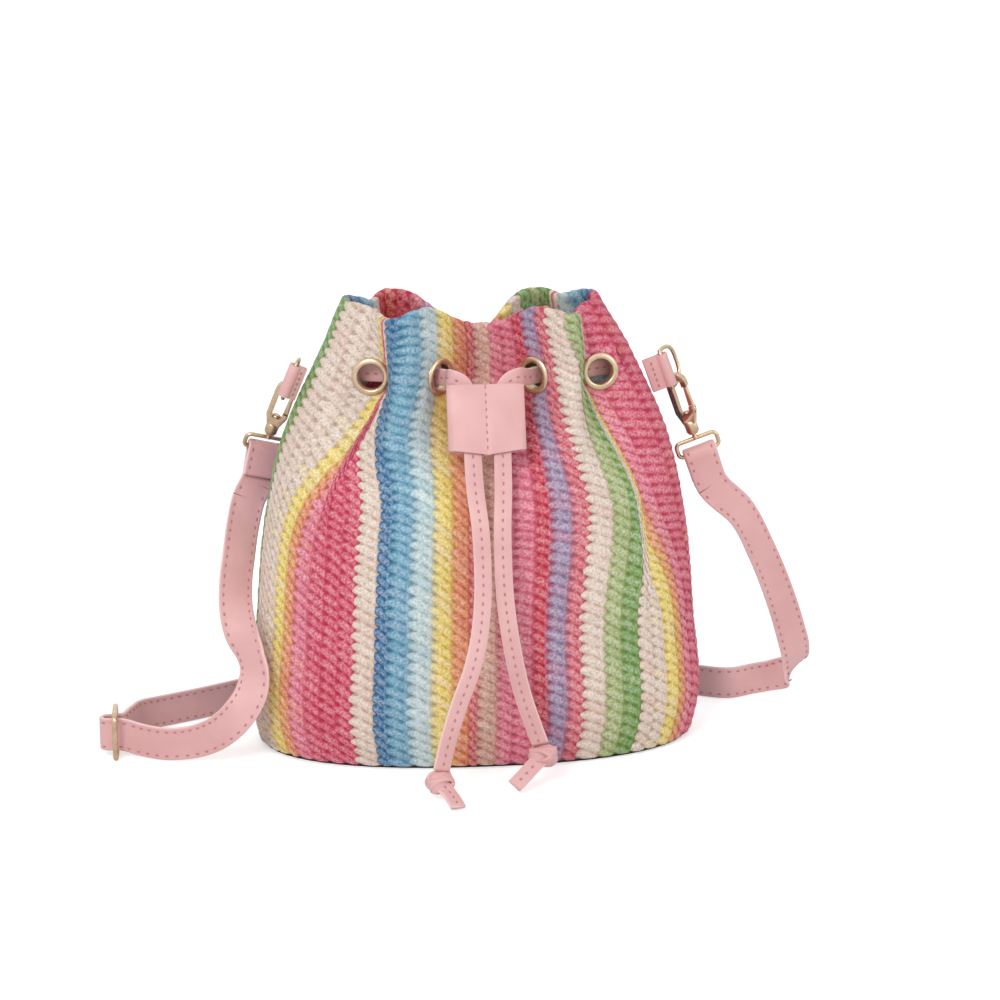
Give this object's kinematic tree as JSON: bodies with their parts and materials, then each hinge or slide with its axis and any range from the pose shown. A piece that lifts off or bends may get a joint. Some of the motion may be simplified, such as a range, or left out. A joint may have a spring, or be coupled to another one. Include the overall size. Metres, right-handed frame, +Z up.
{
  "type": "straw shoulder bag",
  "caption": "Small drawstring shoulder bag of striped woven straw with a leather lace, clamped eyelets, D rings, snap hooks and a long leather strap lying round it.",
  "frame": {"origin": "centre of the base panel's underside, on the surface the bag stands on", "axes": "+X to the right of the bag seen from its front, +Y to its back, +Z up to its mouth"},
  "size_m": [0.3273, 0.1757, 0.2004],
  "materials": {
    "straw_weave": "matt woven paper straw in vertical stripes of many colours",
    "base_board": "dark brown leather-covered board",
    "lining_cloth": "plain matt cotton",
    "pale_gold": "polished pale gold plate",
    "pink_leather": "smooth pale pink leather with a soft shine"
  },
  "bodies": {
    "bag": {"bag_body": "straw_weave", "base_panel": "base_board", "lining": "lining_cloth", "eyelet_front_left": "pale_gold", "eyelet_front_centre_left": "pale_gold", "eyelet_front_centre_right": "pale_gold", "eyelet_front_right": "pale_gold", "eyelet_back_right": "pale_gold", "eyelet_back_centre_right": "pale_gold", "eyelet_back_centre_left": "pale_gold", "eyelet_back_left": "pale_gold", "drawstring": "pink_leather", "drawstring_end_left": "pink_leather", "drawstring_end_right": "pink_leather", "knot_left": "pink_leather", "knot_right": "pink_leather", "drawstring_tail_left": "pink_leather", "drawstring_tail_right": "pink_leather", "tab_left": "pink_leather", "tab_right": "pink_leather", "shoulder_strap": "pink_leather", "strap_adjuster": "pale_gold"},
    "keeper": {"cord_keeper": "pink_leather"},
    "ring_left": {"d_ring_left": "pale_gold"},
    "snap_left": {"hook_left": "pale_gold"},
    "latch_left": {"gate_left": "pale_gold"},
    "eye_left": {"strap_eye_left": "pale_gold"},
    "ring_right": {"d_ring_right": "pale_gold"},
    "snap_right": {"hook_right": "pale_gold"},
    "latch_right": {"gate_right": "pale_gold"},
    "eye_right": {"strap_eye_right": "pale_gold"}
  },
  "joints": [
    {"name": "keeper_slide", "type": "slide", "parent": "bag", "child": "keeper", "axis": [0, -0.3998, -0.9166], "range_m": [0, 0.012]},
    {"name": "ring_left_hinge", "type": "hinge", "parent": "bag", "child": "ring_left", "pos_m": [-0.08092, -0.00015, 0.16385], "axis": [-0.3704, 0.1201, -0.9211], "range_deg": [-75, 0], "deforming": ["shoulder_strap"]},
    {"name": "hook_left_hinge", "type": "hinge", "parent": "ring_left", "child": "snap_left", "pos_m": [-0.08237, 0.00895, 0.1571], "axis": [0.299, 0.8715, 0.3888], "range_deg": [0, 40], "deforming": ["shoulder_strap"]},
    {"name": "eye_left_swivel", "type": "hinge", "parent": "snap_left", "child": "eye_left", "pos_m": [-0.08237, 0.00895, 0.1571], "axis": [-0.2958, 0.4212, -0.8574], "range_deg": [-45, 10], "deforming": ["shoulder_strap"]},
    {"name": "gate_left_hinge", "type": "hinge", "parent": "snap_left", "child": "latch_left", "pos_m": [-0.0832, 0.01418, 0.1441], "axis": [0.2832, 0.8959, 0.3424], "range_deg": [-22, 0], "stiffness_Nm_per_rad": 0.002, "springref_deg": 14.32},
    {"name": "ring_right_hinge", "type": "hinge", "parent": "bag", "child": "ring_right", "pos_m": [0.08436, 0, 0.16494], "axis": [0.3419, 0, -0.9397], "range_deg": [-12, 75], "deforming": ["shoulder_strap"]},
    {"name": "hook_right_hinge", "type": "hinge", "parent": "ring_right", "child": "snap_right", "pos_m": [0.08988, 0.00441, 0.15781], "axis": [0.4494, 0.842, 0.2987], "range_deg": [-40, 2], "deforming": ["shoulder_strap"]},
    {"name": "eye_right_swivel", "type": "hinge", "parent": "snap_right", "child": "eye_right", "pos_m": [0.08988, 0.00441, 0.15781], "axis": [0.3361, 0.035, -0.9412], "range_deg": [-45, 45], "deforming": ["shoulder_strap"]},
    {"name": "gate_right_hinge", "type": "hinge", "parent": "snap_right", "child": "latch_right", "pos_m": [0.09728, 0.00305, 0.14595], "axis": [0.4856, 0.8498, 0.205], "range_deg": [-22, 0], "stiffness_Nm_per_rad": 0.002, "springref_deg": 14.32}
  ]
}
